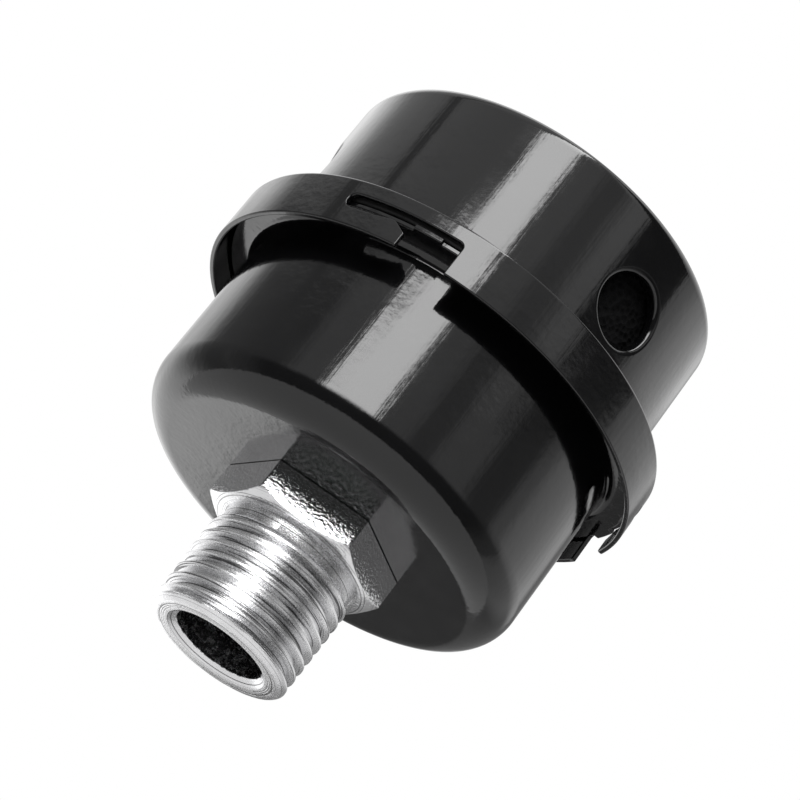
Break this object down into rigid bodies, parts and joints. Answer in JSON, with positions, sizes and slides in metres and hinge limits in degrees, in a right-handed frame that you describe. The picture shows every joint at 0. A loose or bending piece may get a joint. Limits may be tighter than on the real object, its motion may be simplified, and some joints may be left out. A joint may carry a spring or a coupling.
{
  "type": "intake muffler",
  "caption": "Round two-part metal muffler for an air intake, with a bayonet collar, side air holes, a filter cartridge inside and a hexagon nipple with a tapered male pipe thread.",
  "frame": {"origin": "centre of the thread's end face, at the bottom of the part", "axes": "+Z along the muffler's axis from the thread to the cap; +X to the right of the side that shows the lug in its notch"},
  "size_m": [0.066, 0.066, 0.0739],
  "materials": {
    "black_gloss_paint": "high gloss black paint on drawn steel",
    "zinc_plated_steel": "bright zinc plate with turning marks",
    "tinned_sheet": "bright tinned sheet",
    "red_fibre": "pressed vulcanised fibre",
    "black_rubber": "moulded rubber",
    "grey_felt": "pressed wool felt",
    "filter_paper": "resin-treated crepe filter paper",
    "black_foam": "open-cell foam"
  },
  "bodies": {
    "base": {"threaded_nipple": "zinc_plated_steel", "base_can": "black_gloss_paint", "nipple_fibre_washer": "red_fibre", "nipple_backing_washer": "zinc_plated_steel", "nipple_lock_nut": "zinc_plated_steel"},
    "pad": {"cap_pressure_pad": "grey_felt"},
    "cap": {"cap_can": "black_gloss_paint", "cap_seal_ring": "black_rubber"},
    "cartridge": {"cartridge_seat_gasket": "black_rubber", "cartridge_lower_plate": "tinned_sheet", "cartridge_upper_plate": "tinned_sheet", "filter_core_tube": "tinned_sheet", "pleated_filter_paper": "filter_paper", "foam_prefilter_sleeve": "black_foam"}
  },
  "joints": [
    {"name": "cap_lift", "type": "slide", "parent": "base", "child": "pad", "axis": [0, 0, 1], "range_m": [0, 0.07]},
    {"name": "cap_twist", "type": "hinge", "parent": "pad", "child": "cap", "pos_m": [0, 0, 0.06], "axis": [0, 0, 1], "range_deg": [0, 16]},
    {"name": "cartridge_lift", "type": "slide", "parent": "base", "child": "cartridge", "axis": [0, 0, 1], "range_m": [0, 0.035]}
  ],
  "couplings": [
    {"joint": "cartridge_lift", "follows": "cap_lift", "ratio": 0.5}
  ]
}
